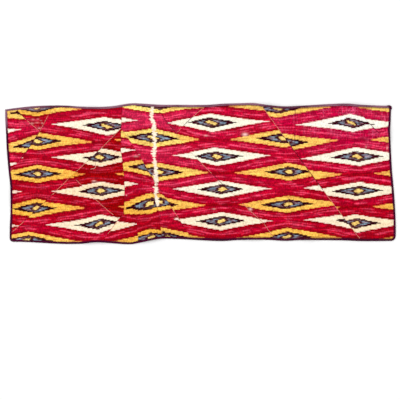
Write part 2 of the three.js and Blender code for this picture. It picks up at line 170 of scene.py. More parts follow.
# Where the figures lie on each piece: how far along the figure from its middle, and x and y in the
# photograph. The middles are a column apart along the warp, and their own rows apart across it.
FIGURES = {
    "panel_top_left": (
        (-24, 9.5, 113.5), (-24, 14, 147), (0, 38, 143.3), (52, 20, 129.5), (52, 18.5, 163.5),
    ),
    "panel_gusset": ((0, 35, 107.5), (30, 65, 107.5), (0, 35, 140.5)),
    "panel_left_upper": (
        (15, 50, 106.5), (52, 83, 109), (0, 37.5, 141.3), (24, 62.5, 141), (52, 92, 142.3),
        (-26, 11.5, 174.8), (0, 38, 173.6), (24, 62, 174), (-24, 12, 209.2), (0, 37, 207.8),
        (-52, 52.5, 124.3), (-24, 84.5, 125.2), (0, 106.5, 126.3), (-52, 51.5, 157.3), (-24, 84, 157.8),
        (52, 22.5, 191.3), (-52, 51.5, 191.2), (52, 19, 225.7),
    ),
    "panel_left_middle": (
        (0, 99.5, 157.3), (24, 121.5, 157), (0, 101, 190.8), (24, 125, 190.3), (52, 85.5, 174.2),
        (-52, 114, 140), (-52, 115.5, 174), (-52, 117, 206.8),
    ),
    "panel_left_lower": (
        (-24, 79, 191.3), (0, 101, 190.9), (0, 34, 209.3), (24, 56, 208), (52, 85.5, 207.8),
        (-52, 45.5, 224.7), (-24, 77, 225.2), (0, 99.5, 224), (22, 117, 222), (0, 26, 240), (52, 82, 241.8),
    ),
    "panel_left_patch": (
        (30, 120, 225.3), (52, 137.5, 223.7), (-52, 111, 241.8), (-25, 138, 240.6),
    ),
    "panel_centre_low": (
        (-34, 121, 134.3), (37, 121, 150.2), (52, 135, 149.8), (38, 125, 183.6), (52, 138.5, 183.4),
        (-27, 124, 167.4), (0, 150.5, 168), (-24, 125, 209.3), (0, 149, 204), (-14, 139, 238.3),
        (0, 151, 237.4),
    ),
    "panel_centre_strip": (
        (0, 158.5, 202.2), (12, 171, 203.4), (-52, 170.5, 218.4), (0, 168, 238.2),
    ),
    "panel_centre_long": (
        (-34, 123, 105), (0, 156, 104.3), (44, 200, 107.5), (38, 122.5, 119.5), (52, 136, 120.4),
        (-24, 127, 137.2), (0, 153.5, 137.7), (24, 179, 138.8), (0, 158.5, 172), (24, 184, 172.3),
        (52, 210, 172.6), (24, 179, 204.8), (52, 207, 205.2), (-52, 173.5, 155.4), (-52, 173, 189),
        (-24, 198, 189.3), (0, 222, 189.3), (-24, 197, 221.2), (0, 220.5, 221), (24, 244, 220.6),
        (-52, 239, 204.7), (-52, 237, 238.4), (-17, 270, 238.2),
    ),
    "panel_centre_top": (
        (-52, 168.5, 123.3), (-24, 188.5, 122.3), (8, 165, 104.5), (44, 200, 107.3),
    ),
    "panel_right_long": (
        (-24, 188.5, 122.3), (0, 212, 122.8), (24, 235, 122.3), (52, 268.5, 121.3), (27, 182, 139),
        (52, 198.5, 139.4), (-24, 195.5, 156.2), (0, 216.5, 156.7), (24, 242.5, 156), (52, 270, 155.4),
        (24, 243.5, 189.2), (52, 271.5, 188.6), (52, 272.5, 220.6), (-28, 255, 106), (-52, 230.5, 139.6),
        (-24, 256, 138.7), (0, 282, 138.5), (-52, 235.5, 173), (-24, 265.5, 172), (0, 289.5, 171.7),
        (24, 309.5, 171.7), (-52, 239, 204.8), (-24, 259.5, 205), (0, 288, 204.2), (24, 313, 203.8),
        (0, 286, 237), (52, 341, 238.2), (-52, 304, 188), (-36, 319, 188), (-52, 304, 219.7),
        (-24, 337, 220),
    ),
    "panel_right_wide": (
        (0, 277, 108.7), (52, 330, 107), (10, 295, 142.8), (24, 308, 142.2), (52, 337.5, 140.5),
        (26, 315, 175.3), (52, 344, 174.3), (52, 340, 207.3), (-52, 297, 124.7), (-24, 331, 123.2),
        (0, 352, 122.8), (24, 370, 123.5), (-52, 301, 158.5), (-24, 331.5, 157.3), (0, 357.5, 156.5),
        (24, 382.5, 156.3), (-24, 332, 191.3), (0, 358, 191), (24, 383.5, 190.3), (0, 355.5, 223.3),
        (24, 379, 223), (-52, 370.5, 139.7), (-52, 373.5, 173.7), (-52, 372.5, 206.6), (-52, 379, 239.5),
    ),
    "panel_top_right": (
        (-52, 357, 107.5), (-21, 388, 106.8), (23, 372, 124.6), (36, 389, 124.3), (-36, 388, 139.4),
    ),
}

# How each piece's tone changes from its top to its bottom: pale and pink, deep and dark, cross-hatched where
# worn
TOP_TO_BOTTOM_TONES = {
    "panel_top_left": ((0.15, 0.1), (0, 0.1), (0, 0)),
    "panel_gusset": ((0, 0), (0.5, 0.7), (0, 0)),
    "panel_left_upper": ((0.1, 0), (0.1, 0.8), (0, 0)),
    "panel_left_middle": ((0, 0), (0.9, 1), (0, 0)),
    "panel_left_lower": ((0, 0), (0.8, 0.2), (0, 0)),
    "panel_left_patch": ((0, 0), (0.7, 0.5), (0, 0)),
    "panel_centre_low": ((0.25, 0), (0, 0.8), (0, 0)),
    "panel_centre_strip": ((0.1, 0.1), (0.2, 0.35), (0, 0)),
    "panel_centre_long": ((1.1, -0.4), (-0.2, 0.45), (0, 0)),
    "panel_centre_top": ((0.7, 0.5), (0, 0), (0, 0)),
    "panel_right_long": ((0.15, 0), (-0.2, 0.5), (0, 0)),
    "panel_right_wide": ((0, 0), (-0.4, 0.7), (1.4, -1.3)),
    "panel_top_right": ((0.2, 0.2), (0, 0), (1, 0.8)),
}

# Where the cross-hatched wear is at its strongest, in the photograph's pixels
WORN_MIDDLE = (352, 129)
WORN_REACH = (34, 20)

# The pale line where the warp was folded in dyeing: x and y in the photograph, from the top edge down
FOLD_LINE = np.array([
    (152.5, 104), (152, 117), (151.8, 119), (154, 123), (154, 132), (155, 145), (153.8, 154), (155.5, 165),
    (156.5, 172), (155.6, 185), (156.3, 196), (157.5, 206),
])
FOLD_LINE_PIECES = ("panel_centre_long", "panel_centre_strip")
NO_LINE = 99.0

# Small spots that the dye missed or faded: x and y in the photograph, half-width, half-height and strength
SPOTS = (
    (245, 134.5, 2.5, 1.5, 1.1), (250.3, 209.2, 1.6, 1.3, 0.9), (206, 135.6, 1.8, 0.6, 0.8),
    (214, 209, 1.6, 0.6, 0.6), (33, 119.5, 1.3, 0.7, 0.35), (38, 119.1, 1.2, 0.6, 0.3),
    (32, 123.5, 1.6, 0.6, 0.7), (37.2, 122.7, 2, 0.5, 0.5), (42.2, 123.2, 0.9, 0.6, 0.6),
    (39.2, 128.3, 1.1, 0.6, 0.7), (41, 120.6, 1, 0.4, 0.3), (94, 181, 1.8, 0.6, 0.9),
    (97, 182.5, 1.2, 0.5, 0.7), (126.6, 195.3, 0.5, 0.5, 0.8), (176.5, 218.5, 1.8, 0.7, 0.5),
    (366, 147, 0.6, 1.4, 0.4), (387, 148, 0.6, 1.6, 0.7), (136, 156.3, 2.4, 0.8, 0.45),
    (163.2, 231.9, 1.2, 0.9, -1), (35, 106.8, 10, 2.6, 0.32), (19.6, 116, 1, 0.9, -0.5),
    (153.6, 174.2, 1, 1.6, 0.5), (102.7, 147.6, 0.9, 0.6, -0.8),
)

# Every seam: its two ends and its bow, as in the solids, then from which to which shares of its length a pale
# thread shows, and a dark one
SEAMS_MM = (
    ((-614, 236), (-514, 136), -5, [(0.62, 0.95)], [(0.12, 0.6)]),
    ((-461, 236), (-514, 136), 0, [(0.5, 1)], []),
    ((-514, 136), (-626, -12), 5, [], [(0.04, 0.56)]),
    ((-254, 145), (-410, -5), 2, [(0, 0.41), (0.72, 0.92)], [(0.42, 0.7)]),
    ((-410, -5), (-626, -208), 2, [(0.06, 0.31), (0.72, 0.9)], []),
    ((-410, -5), (-262, -145), -5, [(0.52, 0.9), (0.1, 0.22)], []),
    ((-262, -145), (-330, -240), 0, [(0.06, 0.5)], []),
    ((-262, -145), (-246, -131), 0, [], []),
    ((-246, -131), (-205, -145), 4, [], []),
    ((-205, -145), (-196, -240), 0, [], []),
    ((-249, 236), (-254, 145), 0, [], []),
    ((-254, 145), (-255, 76), 0, [], []),
    ((-255, 76), (-246, -131), 7, [], []),
    ((-254, 145), (-160, -3), 2.5, [], []),
    ((-160, -3), (-8, -240), 0, [(0.46, 0.6)], []),
    ((-160, -3), (-134, -120), -5, [], []),
    ((-134, -120), (-119, -240), 0, [], []),
    ((-152, 236), (-77, 129), -4.5, [], [(0.45, 0.98)]),
    ((-77, 129), (-59, 97), 0, [], []),
    ((-59, 97), (203, -160), -2.5, [(0.23, 0.37), (0.74, 0.99)], [(0.37, 0.5)]),
    ((203, -160), (258, -240), 0, [(0, 0.5)], []),
    ((46, 236), (-77, 129), -5.5, [(0.26, 0.54), (0.86, 0.97)], [(0.56, 0.78)]),
    ((182, 236), (534, -240), -3, [(0.06, 0.24), (0.61, 0.79), (0.85, 0.93)], [(0.26, 0.6)]),
    ((478, 236), (640, 70), -9, [], [(0.4, 0.6)]),
)

# A loose end of thread that lies on the cloth: x and y in the photograph
LOOSE_THREAD = (
    (95.3, 162.8), (95.5, 164.9), (95.8, 166.7), (94.8, 168.2), (93.2, 168.9), (91.8, 168.8), (90.6, 169.3),
)

# The crease along which shade is painted as a dark line, in metres
CREASE_MIDDLE = (0.3015, 0.142)
CREASE_HALF_LENGTH = 0.068

# The weave's ribs and threads and the sewing thread's twist, in metres from one to the next
RIB = 0.0011
THREAD = 0.0006
TWIST = 0.0009
DARKEST_GRAIN = 0.72

# The stretches of the top tape that keep their purple, with less painted light: middle and half-length, in
# metres
PURPLE_STRETCHES = ((-0.455, 0.03), (0.275, 0.055))

# The studio: the floor, the sky's strength, and each lamp's name, place, size and power
FLOOR_HALF = 6.0
SKY_STRENGTH = 0.88
LAMPS = (("key", (-1.6, 1.4, 2.2), 1.6, 20.0), ("fill", (1.8, -1.0, 2.4), 2.2, 8.0))


def srgb(red, green, blue):
    """A colour read in a picture's own values, from 0 to 255, as Blender's linear one."""
    def linear(value):
        share = value / 255
        return share / 12.92 if share <= 0.04045 else ((share + 0.055) / 1.055) ** 2.4
    return linear(red), linear(green), linear(blue), 1.0


WHITE = srgb(255, 255, 255)
CRIMSON = srgb(177, 0, 34)
CRIMSON_ROSE = srgb(192, 0, 54)
CRIMSON_DEEP = srgb(156, 0, 6)
CRIMSON_PALE = srgb(202, 36, 80)
EDGE_RED = srgb(150, 0, 18)
EDGE_RED_DEEP = srgb(130, 0, 0)
PINK = srgb(242, 76, 114)
GOLD = srgb(255, 199, 101)
GOLD_DEEP = srgb(246, 175, 52)
GOLD_PALE = srgb(254, 220, 124)
CREAM = srgb(255, 248, 226)
CREAM_DEEP = srgb(255, 227, 190)
CREAM_EDGE = srgb(253, 216, 204)
CREAM_WHITE = srgb(255, 252, 242)
TIP_PINK = srgb(255, 214, 220)
TIP_ORANGE = srgb(248, 140, 76)
MAROON = srgb(54, 0, 16)
BLUE = srgb(120, 146, 166)
LILAC = srgb(142, 112, 122)
SLATE = srgb(88, 38, 42)
BLUE_PALE = srgb(156, 176, 190)
NAVY = srgb(44, 0, 10)
CENTRE_GOLD = srgb(252, 212, 124)
RESIST_WHITE = srgb(255, 238, 216)
THREAD_DARK = srgb(60, 16, 20)
THREAD_PALE = srgb(255, 200, 180)
WORN_BLOOM = srgb(190, 4, 80)
WORN_PINK = srgb(236, 96, 140)
# Painted shade along the crease
CREASE_SHADE = srgb(90, 0, 30)
SPOT_PALE = srgb(255, 205, 200)
SPOT_DARK = srgb(40, 0, 20)
# Painted shade along the pieces' edges
SEAM_SHADE = srgb(120, 10, 24)
# Painted shadow on the cloth beside the tape
SHADE_BY_TAPE = srgb(70, 6, 30)
LOOSE_PINK = srgb(250, 200, 186)

# The tape's dark, pale and brightest tones, and the paler greyed mauve ones of painted light
PURPLE = (srgb(36, 0, 18), srgb(70, 0, 38), srgb(108, 26, 70))
MAUVE_PAINTED_LIGHT = (srgb(90, 38, 64), srgb(144, 98, 118), srgb(174, 130, 146))

# The threads that show along the seams: tone, colour, radius, lift over the cloth and swing in millimetres
SEAM_THREADS = (
    ("pale", srgb(250, 160, 136), 0.85, 0.1, 0.42),
    ("dark", srgb(44, 0, 14), 0.6, 0.3, 0.1),
)


def from_photo(x, y):
    return (x - PHOTO_MIDDLE[0]) * PIXEL_MM, (PHOTO_MIDDLE[1] - y) * PIXEL_MM


def to_photo(x_mm, y_mm):
    return x_mm / PIXEL_MM + PHOTO_MIDDLE[0], PHOTO_MIDDLE[1] - y_mm / PIXEL_MM


# The cloth's edges and how high it lies


def read_table(rows, column, at):
    """A smooth value between the rows of a table, whose first column is what the others follow."""
    keys, values = rows[:, 0], rows[:, column]
    last = len(keys) - 1
    at = np.clip(at, keys[0], keys[-1])
    i = np.clip(np.searchsorted(keys, at) - 1, 0, last - 1)
    before_row, after_row = np.maximum(i - 1, 0), np.minimum(i + 2, last)
    before = (values[i + 1] - values[before_row]) / (keys[i + 1] - keys[before_row])
    after = (values[after_row] - values[i]) / (keys[after_row] - keys[i])
    span, rise = keys[i + 1] - keys[i], values[i + 1] - values[i]
    t = (at - keys[i]) / span
    bend = (before * span - rise) * (1 - t) - (after * span - rise) * t
    return values[i] + rise * t + t * (1 - t) * bend


def left_x(y):
    return read_table(SHORT_EDGES_MM, 1, y) + EDGE_ROOM_MM


def right_x(y):
    return read_table(SHORT_EDGES_MM, 2, y) - EDGE_ROOM_MM


def top_y(x):
    return read_table(LONG_EDGES_MM, 1, x) - EDGE_ROOM_MM


def corner_rise(distance, radius):
    within = np.clip(radius - distance, 0, radius)
    return radius - np.sqrt(radius**2 - within**2)


def bottom_y(x):
    straight = read_table(LONG_EDGES_MM, 2, x) + EDGE_ROOM_MM
    left = corner_rise(x - left_x(CORNER_LEVEL_MM), CORNER_RADIUS_MM["left"])
    right = corner_rise(right_x(CORNER_LEVEL_MM) - x, CORNER_RADIUS_MM["right"])
    return straight + left + right


def smooth_step(low, high, value):
    t = np.clip((value - low) / (high - low), 0, 1)
    return t * t * (3 - 2 * t)


def from_panel_edge(x, y):
    to_sides = np.minimum(x - left_x(y), right_x(y) - x)
    to_long = np.minimum(y - bottom_y(x), top_y(x) - y)
    return np.minimum(to_sides, to_long)


def ridges(rows, x, y):
    """The height of all the soft ridges of a table at each point."""
    height_here = np.zeros_like(x)
    for middle_x, middle_y, heading, half_length, half_width, height in rows:
        c, s = math.cos(math.radians(heading)), math.sin(math.radians(heading))
        along = ((x - middle_x) * c + (y - middle_y) * s) / half_length
        across = ((y - middle_y) * c - (x - middle_x) * s) / half_width
        height_here = height_here + height * np.exp(-(along**2) - across**2)
    return height_here


def underside(x, y):
    """How high the cloth's underside is, in millimetres, with one height across the strip under the tape."""
    x_in = np.clip(x, left_x(y) + EDGE_LEVEL_MM, right_x(y) - EDGE_LEVEL_MM)
    y_in = np.clip(y, bottom_y(x) + EDGE_LEVEL_MM, top_y(x) - EDGE_LEVEL_MM)
    taped = 1 - smooth_step(EDGE_LEVEL_MM, EDGE_FADE_MM, from_panel_edge(x_in, y_in))
    folded = ridges(FOLDS_MM, x_in, y_in)
    return EDGE_LIFT_MM * taped + np.maximum(folded - RESTS_BELOW_MM, 0)


def puckers(x, y, from_edge, edge_x, edge_y):
    """Small ripples that the sewing draws up beside a seam, and faint unevenness all over."""
    phase = 2 * math.pi / PUCKER_LENGTH_MM
    along = edge_x * PUCKER_WAY[0] + edge_y * PUCKER_WAY[1]
    drawn = 0.5 + 0.5 * np.sin(phase * along + 2.2 * np.sin(along / 37.0)) * np.cos(along / 53.0)
    wave_x = np.sin(x / 17.0 + 1.3 * np.sin(y / 31.0))
    wave_y = np.sin(y / 13.0 + 1.7 * np.sin(x / 23.0))
    uneven = 0.5 + 0.25 * (wave_x + wave_y)
    rippled = drawn * np.exp(-from_edge / PUCKER_REACH_MM) + 0.5 * uneven
    free = smooth_step(TAPE_FACE_MM, 2 * TAPE_FACE_MM, from_panel_edge(x, y))
    return free * (ridges(CREASES_MM, x, y) + PUCKER_MM * rippled)


# The pieces of cloth


def top_outline(node):
    """The border of a solid's upper side, in order, in millimetres."""
    mesh = node.data
    places = [(round(v.co.x / MM, 3), round(v.co.y / MM, 3)) for v in mesh.vertices]
    after, seen = {}, set()
    for face in mesh.polygons:
        if face.normal.z > 0.5:
            ring = [places[i] for i in face.vertices]
            seen.update(zip(ring, ring[1:] + ring[:1]))
    for a, b in seen:
        if (b, a) not in seen:
            after[a] = b
    start = max(after)
    outline = [start]
    while after[outline[-1]] != start:
        outline.append(after[outline[-1]])
    return np.array(outline)


def resampled(outline, spacing):
    """The same closed border with points no further apart than the spacing."""
    points = []
    for a, b in zip(outline, np.roll(outline, -1, axis=0)):
        count = max(1, math.ceil(np.linalg.norm(b - a) / spacing))
        points.extend(a + (b - a) * i / count for i in range(count))
    return np.array(points)


def nearest_on(border, points):
    """How far each point is from a closed border, and the border's nearest place."""
    a, b = border, np.roll(border, -1, axis=0)
    way = b - a
    length = np.maximum((way**2).sum(1), 1e-12)
    distance = np.full(len(points), np.inf)
    place = np.zeros((len(points), 2))
    for start, direction, square in zip(a, way, length):
        share = np.clip(((points - start) @ direction) / square, 0, 1)
        on_line = start + share[:, None] * direction
        gap = np.linalg.norm(points - on_line, axis=1)
        nearer = gap < distance
        distance[nearer] = gap[nearer]
        place[nearer] = on_line[nearer]
    return distance, place


def inside(border, points):
    """Which points are within a closed border, by how often a line from each crosses it."""
    crossings = np.zeros(len(points), int)
    for a, b in zip(border, np.roll(border, -1, axis=0)):
        spans = (a[1] > points[:, 1]) != (b[1] > points[:, 1])
        if spans.any():
            at = a[0] + (points[:, 1] - a[1]) * (b[0] - a[0]) / (b[1] - a[1] if b[1] != a[1] else 1)
            crossings += spans & (points[:, 0] < at)
    return crossings % 2 == 1


def unit(ways):
    return ways / np.maximum(np.linalg.norm(ways, axis=1, keepdims=True), 1e-9)


def left_of(way):
    """Unit vectors to the left of each way."""
    way = unit(way)
    return np.stack([-way[:, 1], way[:, 0]], axis=1)


def into_piece(border):
    """Unit vectors into a piece at the points of its closed border."""
    return left_of(np.roll(border, -1, axis=0) - np.roll(border, 1, axis=0))


def inner_points(border):
    """A ring of points just inside the border, and rows of points over the rest."""
    ring = border + ROLL_MM * into_piece(border)
    low, high = border.min(0), border.max(0)
    row_step = MESH_STEP_MM * math.sqrt(3) / 2
    rows = []
    for i, y in enumerate(np.arange(low[1], high[1], row_step)):
        x = np.arange(low[0] + (i % 2) * MESH_STEP_MM / 2, high[0], MESH_STEP_MM)
        rows.append(np.stack([x, np.full_like(x, y)], axis=1))
    spread = np.concatenate(rows)
    ring = ring[inside(border, ring)]
    ring = ring[nearest_on(border, ring)[0] > 0.8 * ROLL_MM]
    spread = spread[inside(border, spread)]
    spread = spread[nearest_on(border, spread)[0] > ROLL_MM + 0.45 * MESH_STEP_MM]
    return np.concatenate([ring, spread])


def lattice_of(piece, x, y):
    """Where each point is in the woven figure's repeat: along the warp and across it, in pixels."""
    steady, reach, calm = 260.0, 20.0, 0.1
    marks = np.array(FIGURES[piece], float)
    along, mark_x, mark_y = marks.T
    column = np.round((mark_x - FIRST_MARK[0] - along) / COLUMN)
    cream = np.mod(column, 2)
    row = np.round(((mark_y - FIRST_MARK[1]) / HALF_ROW - cream) / 2)
    target = np.stack([column * COLUMN + along, (2 * row + cream) * HALF_ROW], axis=1)
    at = np.stack([mark_x, mark_y], axis=1)
    middle = at.mean(0)
    shift = (target - at).mean(0)
    near = at - middle
    tilt = np.linalg.solve(near.T @ near + steady * np.eye(2), near.T @ (target - at - shift))
    rest = target - at - shift - near @ tilt
    points = np.stack([x, y], axis=1)
    result = points + shift + (points - middle) @ tilt

    def nearness(a, b):
        return np.exp(-((a[:, None] - b[None]) ** 2).sum(2) / (2 * reach**2))

    pull = np.linalg.solve(nearness(at, at) + calm * np.eye(len(at)), rest)
    return result + nearness(points, at) @ pull


def add_attribute(mesh, name, values):
    attribute = mesh.attributes.new(name, "FLOAT_VECTOR", "POINT")
    attribute.data.foreach_set("vector", np.asarray(values, np.float32).ravel())


def put(name, data, place=(0, 0, 0)):
    thing = bpy.data.objects.new(name, data)
    thing.location = place
    bpy.context.scene.collection.objects.link(thing)
    return thing


def new_object(name, points, faces, material):
    mesh = bpy.data.meshes.new(name)
    mesh.from_pydata(points, [], faces)
    mesh.materials.append(material)
    mesh.polygons.foreach_set("use_smooth", [True] * len(mesh.polygons))
    mesh.update()
    return put(name, mesh)


def bell(x, y, middle_x, middle_y, half_width, half_height):
    return np.exp(-((x - middle_x) / half_width) ** 2 - ((y - middle_y) / half_height) ** 2)


def pattern_of(piece, x_mm, y_mm):
    """The vertex values that the cloth's material reads: figure, fold line and tones from top to bottom."""
    x, y = to_photo(x_mm, y_mm)
    lattice = lattice_of(piece, x, y)
    if piece in FOLD_LINE_PIECES:
        line = x - np.interp(y, FOLD_LINE[:, 1], FOLD_LINE[:, 0])
        line = line + np.maximum(y - FOLD_LINE[-1, 1], 0) * 2
    else:
        line = np.full_like(x, NO_LINE)
    share = (y - y.min()) / (y.max() - y.min())
    tones = [top + (bottom - top) * share for top, bottom in TOP_TO_BOTTOM_TONES[piece]]
    tones[2] = tones[2] * (0.35 + 0.75 * bell(x, y, *WORN_MIDDLE, *WORN_REACH))
    spot = np.zeros_like(x)
    for *place_and_size, strength in SPOTS:
        spot += strength * bell(x, y, *place_and_size)
    return np.column_stack([lattice, line]), np.clip(np.stack(tones, axis=1), 0, 1), spot


def make_panel(piece, material):
    border = resampled(top_outline(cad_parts[piece]), MESH_STEP_MM)
    border = border - CLOSES_BY_MM * into_piece(border)
    points = np.concatenate([border, inner_points(border)])
    flat, _, faces, *_ = delaunay_2d_cdt(
        [Vector(p) for p in points], [], [list(range(len(border)))], 1, 1e-4)
    flat = np.array([tuple(p) for p in flat])
    x, y = flat.T
    from_edge, edge = nearest_on(border, flat)
    low = underside(x, y) + puckers(x, y, from_edge, edge[:, 0], edge[:, 1])
    rolled = ROLL_DROP_MM * (1 - smooth_step(0, ROLL_MM, from_edge))
    high = low + CLOTH_MM - rolled
    count = len(flat)
    solid = np.concatenate([np.stack([x, y, high], axis=1), np.stack([x, y, low], axis=1)]) * MM
    upper = [tuple(f) for f in faces]
    lower = [tuple(count + i for i in reversed(f)) for f in faces]
    edges = {(f[i], f[(i + 1) % 3]) for f in upper for i in range(3)}
    rim = [(a, a + count, b + count, b) for a, b in edges if (b, a) not in edges]
    cloth = new_object(piece + "_cloth", solid.tolist(), upper + lower + rim, material)
    pattern, tones, spot = pattern_of(piece, x, y)
    # Painted shade along each piece's edge, where it meets the next piece or the tape
    seam = 1 - smooth_step(0, 2 * ROLL_MM, from_edge)
    # Painted shadow on the cloth beside the tape of the long edges, stronger towards the right
    from_long = np.minimum(y - bottom_y(x), top_y(x) - y)
    painted_tape_shadow = (1 - smooth_step(TAPE_FACE_MM - 1, TAPE_FACE_MM + 5, from_long)) * smooth_step(-300, 0, x)
    shade = np.stack([seam, spot, painted_tape_shadow], axis=1)
    for name, values in (("figure", pattern), ("top_to_bottom_tones", tones), ("spots_and_painted_shade", shade)):
        add_attribute(cloth.data, name, np.concatenate([values, values]))
    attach(cloth, ROOT)
    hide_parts(piece)


# The tape and the sewing


def corner_arc(radius):
    """How far in from the side the points of a rounded corner are."""
    return radius * (1 - np.cos(np.linspace(0, math.pi / 2, ARC_POINTS)))


def spread_between(start, end):
    return np.linspace(start, end, max(2, round(abs(end - start) / TAPE_STEP_MM) + 1))


def edge_paths():
    """The cloth's four edges, each going round the panel with the cloth on its left."""
    low_left, low_right = left_x(CORNER_LEVEL_MM), right_x(CORNER_LEVEL_MM)
    left_arc = low_left + corner_arc(CORNER_RADIUS_MM["left"])
    right_arc = low_right - corner_arc(CORNER_RADIUS_MM["right"])[::-1]
    x = np.concatenate([left_arc[:-1], spread_between(left_arc[-1], right_arc[0]), right_arc[1:]])
    bottom = np.stack([x, bottom_y(x)], axis=1)
    high_right = right_x(SHORT_EDGES_MM[-1, 0])
    high_left = left_x(SHORT_EDGES_MM[-1, 0])
    y = spread_between(bottom[-1, 1], top_y(high_right))
    right = np.stack([right_x(y), y], axis=1)
    x = spread_between(high_right, high_left)
    top = np.stack([x, top_y(x)], axis=1)
    y = spread_between(top_y(high_left), bottom[0, 1])
    left = np.stack([left_x(y), y], axis=1)
    under_top = TAPE_FACE_MM - EDGE_ROOM_MM + GAP_MM
    return {
        "bottom": bottom,
        "right": trimmed(right, GAP_MM, under_top),
        "top": trimmed(top, -EDGE_ROOM_MM, -EDGE_ROOM_MM),
        "left": trimmed(left, under_top, GAP_MM),
    }


def along_line(line):
    steps = np.linalg.norm(np.diff(line, axis=0), axis=1)
    return np.concatenate([[0], np.cumsum(steps)])


def point_at(line, distance, at):
    """The line's point at a distance along it, or straight on past its end."""
    i = int(np.clip(np.searchsorted(distance, at) - 1, 0, len(line) - 2))
    share = (at - distance[i]) / (distance[i + 1] - distance[i])
    return line[i] + share * (line[i + 1] - line[i])


def trimmed(line, start_by, end_by):
    """The line shortened at its ends, or lengthened where a length is negative."""
    distance = along_line(line)
    low, high = start_by, distance[-1] - end_by
    room = 0.5
    kept = line[(distance > low + room) & (distance < high - room)]
    return np.concatenate([[point_at(line, distance, low)], kept, [point_at(line, distance, high)]])


def tape_section():
    """The folded tape's two faces, as distance in from the cloth's edge and height over its underside."""
    start, level, radius = TAPE_FOLD_MM
    inner = TAPE_FACE_MM - EDGE_ROOM_MM
    outside, within = [], []
    for d in (inner, *TAPE_LOWER_MM, start):
        outside.append((d, level - radius))
        within.append((d, level - radius + TAPE_MM))
    for turn in np.linspace(0, math.pi, 9)[1:-1]:
        for face, bend in ((outside, radius), (within, radius - TAPE_MM)):
            face.append((start - bend * math.sin(turn), level - bend * math.cos(turn)))
    for d in (start, *TAPE_UPPER_MM, inner):
        top = level + radius - TAPE_SINK_MM * smooth_step(1.5, inner, d)
        outside.append((d, top))
        within.append((d, top - TAPE_MM))
    return np.array(outside), np.array(within)


def make_tape(side, line, material):
    distance = along_line(line)
    inward = left_of(np.gradient(line, axis=0))
    level = underside(line[:, 0], line[:, 1])
    outside, within = tape_section()
    ring = np.concatenate([outside, within[::-1]])
    reach, height = ring.T
    count, half = len(ring), len(outside)
    threads = np.concatenate([np.arange(half), np.arange(half)[::-1]]) * 0.8
    sewn = 0.5 + 0.5 * np.cos(2 * math.pi * distance / STITCH_STEP_MM)
    wide = 0.5 * np.sin(distance / 23.0 + 2 * np.sin(distance / 61.0)) + 0.3 * np.sin(distance / 5.3)
    dented = TAPE_DENT_MM * np.exp(-((reach - 4.2) / 1.3) ** 2) * (height > 1.0)
    points, woven = [], []
    for i, at in enumerate(line):
        d = reach + wide[i] * smooth_step(1.0, 5.2, reach)
        points.append(np.column_stack([at + inward[i] * d[:, None], level[i] + height - sewn[i] * dented]))
        woven.append(np.column_stack([np.full(count, distance[i]), threads, np.full(count, at[0])]))
    faces = []
    for i in range(len(line) - 1):
        for j in range(count):
            a, b = i * count + j, i * count + (j + 1) % count
            faces.append((a, a + count, b + count, b))
    last = (len(line) - 1) * count
    for j in range(half - 1):
        over, under = j, count - 1 - j
        faces.append((over, over + 1, under - 1, under))
        faces.append((last + under, last + under - 1, last + over + 1, last + over))
    tape = new_object(f"binding_{side}_tape", (np.concatenate(points) * MM).tolist(), faces, material)
    add_attribute(tape.data, "tape", np.concatenate(woven))
    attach(tape, ROOT)
    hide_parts(f"binding_{side}")
    along_line(outside)[-1] * MM


def tubes(paths, radius, flatness, sides=6):
    """Points and faces of closed tubes, one along each path of points in millimetres."""
    turns = (np.arange(sides) * 2 * math.pi / sides)[None, :, None]
    points, faces = [], []
    start = 0
    for path in paths:
        path = np.array(path, float)
        count = len(path)
        way = unit(np.gradient(path, axis=0))
        aside = unit(np.cross(way, (0, 0, 1)))
        upward = np.cross(aside, way)
        thick = np.full((count, 1, 1), radius)
        thick[[0, -1]] *= 0.6
        ring = np.cos(turns) * aside[:, None] + flatness * np.sin(turns) * upward[:, None]
        points.append((path[:, None] + thick * ring).reshape(-1, 3))
        for i in range(start, start + (count - 1) * sides, sides):
            for j in range(sides):
                a, b = i + j, i + (j + 1) % sides
                faces.append((a, b, b + sides, a + sides))
        faces.append(tuple(range(start + sides - 1, start - 1, -1)))
        start += count * sides
        faces.append(tuple(range(start - sides, start)))
    return np.concatenate(points) * MM, faces


def seam_points(start, end, bow, shares):
    """Points of a seam at shares of its length, as its solid's curve has them."""
    start, end = np.array(start, float), np.array(end, float)
    way = (end - start) / np.linalg.norm(end - start)
    pull = (start + end) / 2 + np.array([-way[1], way[0]]) * 2 * bow
    t = np.asarray(shares)[:, None]
    return (1 - t) ** 2 * start + 2 * t * (1 - t) * pull + t * t * end


def on_cloth(flat, height, from_seam=0.0):
    """Points at a height over the cloth's upper side, on a seam or at a distance from it."""
    x, y = flat.T
    level = underside(x, y) + puckers(x, y, from_seam, x, y) + CLOTH_MM - ROLL_DROP_MM
    return np.column_stack([flat, level + height])


def shown_thread(start, end, bow, low, high, lift, swing):
    """The thread of a seam between two shares of its length, swinging about its lift over the cloth."""
    length = math.dist(start, end)
    shares = np.linspace(low, high, max(6, round(length * (high - low) / THREAD_STEP_MM)))
    flat = seam_points(start, end, bow, shares)
    at = shares * length
    aside = 0.25 * np.sin(at / 2.1) + 0.25 * np.sin(at / 5.7)
    flat = flat + left_of(np.gradient(flat, axis=0)) * aside[:, None]
    keep = from_panel_edge(flat[:, 0], flat[:, 1]) > TAPE_FACE_MM
    return on_cloth(flat, lift + swing * np.sin(at / 1.1 + 2 * np.sin(at / 9.0)))[keep]


